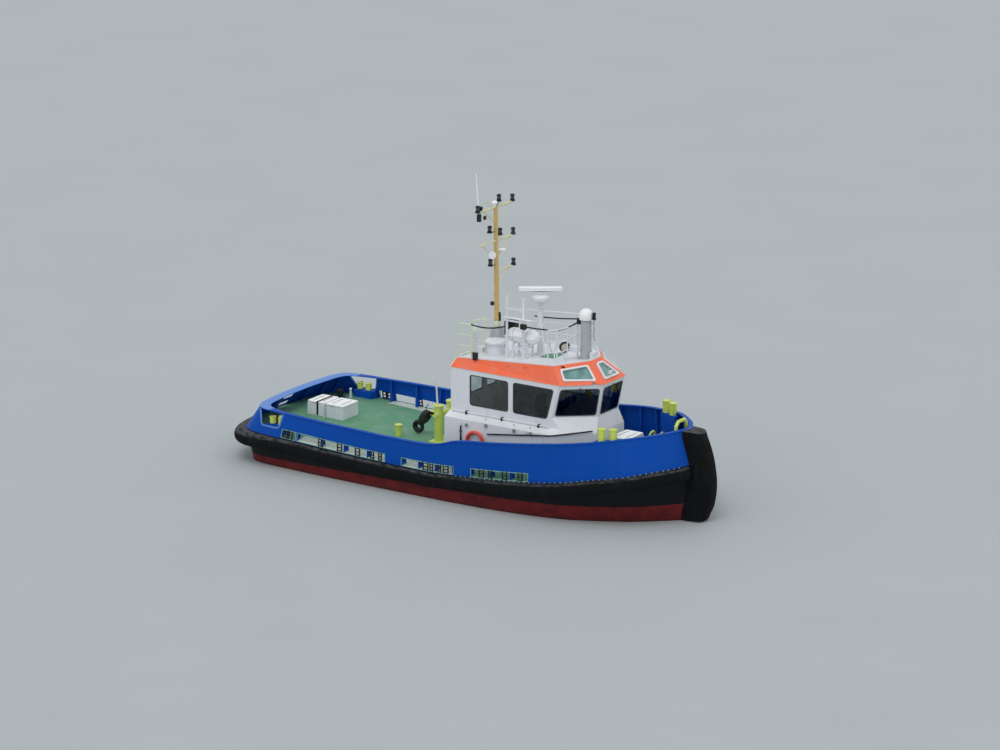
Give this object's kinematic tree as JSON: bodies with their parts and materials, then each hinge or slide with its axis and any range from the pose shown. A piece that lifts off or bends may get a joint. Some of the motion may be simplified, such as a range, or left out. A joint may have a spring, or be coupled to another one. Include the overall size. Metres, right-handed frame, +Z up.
{
  "type": "harbour tugboat",
  "caption": "Harbour tug afloat: blue bulwarks with rubber fenders, raised wheelhouse, mast, towing bitt with swinging hook, turning radar, propellers in nozzles and rudders.",
  "frame": {"origin": "on the still waterline, on the centreline, half way between the forward and aft ends of the fenders", "axes": "+X forward to the bow, +Y to port, +Z up"},
  "size_m": [17, 6.086, 11.9309],
  "materials": {
    "hull_paint": "semi-gloss black above the boot top, dull red below",
    "bulwark_blue": "glossy blue, darker inside",
    "deck_green": "matt non-slip green",
    "white_paint": "semi-gloss white",
    "orange_paint": "semi-gloss orange",
    "lime_paint": "semi-gloss lime green",
    "ochre_paint": "weathered matt ochre",
    "black_steel": "satin black",
    "grey_steel": "satin grey",
    "rubber": "matt, scuffed grey on top",
    "window_glass": "clear, dark from outside",
    "skylight_glass": "tinted teal",
    "gel_coat": "glossy white moulding",
    "buoy_foam": "orange red with white bands",
    "upholstery": "black, dull",
    "bronze": "cast, polished by use"
  },
  "bodies": {
    "root": {"hull": "hull_paint", "main_deck": "deck_green", "bulwark_stern": "bulwark_blue", "bulwark_port": "bulwark_blue", "bulwark_starboard": "bulwark_blue", "bulwark_bow": "bulwark_blue", "fender_stern": "rubber", "fender_port": "rubber", "fender_starboard": "rubber", "bow_fender": "rubber", "deckhouse": "white_paint", "wall_port": "white_paint", "wall_starboard": "white_paint", "wall_front": "white_paint", "wall_aft": "white_paint", "glass_port": "window_glass", "glass_starboard": "window_glass", "glass_front": "window_glass", "glass_aft": "window_glass", "helm_console": "grey_steel", "helm_chair": "upholstery", "roof": "orange_paint", "skylight_glass": "skylight_glass", "mast": "ochre_paint", "radar_pedestal": "white_paint", "dome_column": "gel_coat", "searchlight": "white_paint", "life_raft": "gel_coat", "raft_cradle": "white_paint", "vent": "white_paint", "antenna_frame": "white_paint", "ladder": "lime_paint", "roof_railing": "white_paint", "tow_bitt": "lime_paint", "locker_aft": "white_paint", "locker_fore": "white_paint", "bow_locker": "white_paint", "bitt_aft_port": "lime_paint", "bitt_aft_starboard": "lime_paint", "bitt_fore_port": "lime_paint", "bitt_fore_starboard": "lime_paint", "short_bollard": "lime_paint", "bow_staple": "lime_paint", "windlass": "grey_steel", "lifebuoy": "buoy_foam", "nozzle_port": "hull_paint", "nozzle_starboard": "hull_paint"},
    "door": {"wheelhouse_door": "white_paint", "door_glass": "window_glass"},
    "locker_aft_lid": {"locker_aft_lid": "white_paint"},
    "locker_fore_lid": {"locker_fore_lid": "white_paint"},
    "bow_locker_lid": {"bow_locker_lid": "white_paint"},
    "tow_hook": {"tow_hook": "black_steel"},
    "radar_scanner": {"radar_scanner": "gel_coat"},
    "windlass_drum": {"windlass_drum": "grey_steel"},
    "propeller_port": {"propeller_port": "bronze"},
    "propeller_starboard": {"propeller_starboard": "bronze"},
    "rudder_port": {"rudder_port": "hull_paint"},
    "rudder_starboard": {"rudder_starboard": "hull_paint"}
  },
  "joints": [
    {"name": "door_swing", "type": "hinge", "parent": "root", "child": "door", "pos_m": [-0.345, 1.195, 2.8], "axis": [0, 0, -1], "range_deg": [0, 100]},
    {"name": "locker_aft_lid_hinge", "type": "hinge", "parent": "root", "child": "locker_aft_lid", "pos_m": [-6.31, 0.437, 1.58], "axis": [-1, 0, 0], "range_deg": [0, 100]},
    {"name": "locker_fore_lid_hinge", "type": "hinge", "parent": "root", "child": "locker_fore_lid", "pos_m": [-5.565, 0.437, 1.58], "axis": [-1, 0, 0], "range_deg": [0, 100]},
    {"name": "bow_locker_lid_hinge", "type": "hinge", "parent": "root", "child": "bow_locker_lid", "pos_m": [4.968, 0, 2.27], "axis": [0, -1, 0], "range_deg": [0, 95]},
    {"name": "tow_hook_swing", "type": "hinge", "parent": "root", "child": "tow_hook", "pos_m": [-2, 0, 1.85], "axis": [0, 0, 1], "range_deg": [-60, 60]},
    {"name": "radar_turn", "type": "hinge", "parent": "root", "child": "radar_scanner", "pos_m": [2.08, 0, 6.52], "axis": [0, 0, 1], "continuous": true},
    {"name": "windlass_turn", "type": "hinge", "parent": "root", "child": "windlass_drum", "pos_m": [6.35, 0, 2.2], "axis": [0, 1, 0], "continuous": true},
    {"name": "propeller_port_turn", "type": "hinge", "parent": "root", "child": "propeller_port", "pos_m": [-6.45, 1.15, -1.06], "axis": [1, 0, 0], "continuous": true},
    {"name": "propeller_starboard_turn", "type": "hinge", "parent": "root", "child": "propeller_starboard", "pos_m": [-6.45, -1.15, -1.06], "axis": [1, 0, 0], "continuous": true},
    {"name": "rudder_port_turn", "type": "hinge", "parent": "root", "child": "rudder_port", "pos_m": [-7.15, 1.15, -1.1], "axis": [0, 0, 1], "range_deg": [-40, 40]},
    {"name": "rudder_starboard_turn", "type": "hinge", "parent": "root", "child": "rudder_starboard", "pos_m": [-7.15, -1.15, -1.1], "axis": [0, 0, 1], "range_deg": [-40, 40]}
  ],
  "couplings": [
    {"joint": "rudder_starboard_turn", "follows": "rudder_port_turn", "ratio": 1}
  ]
}
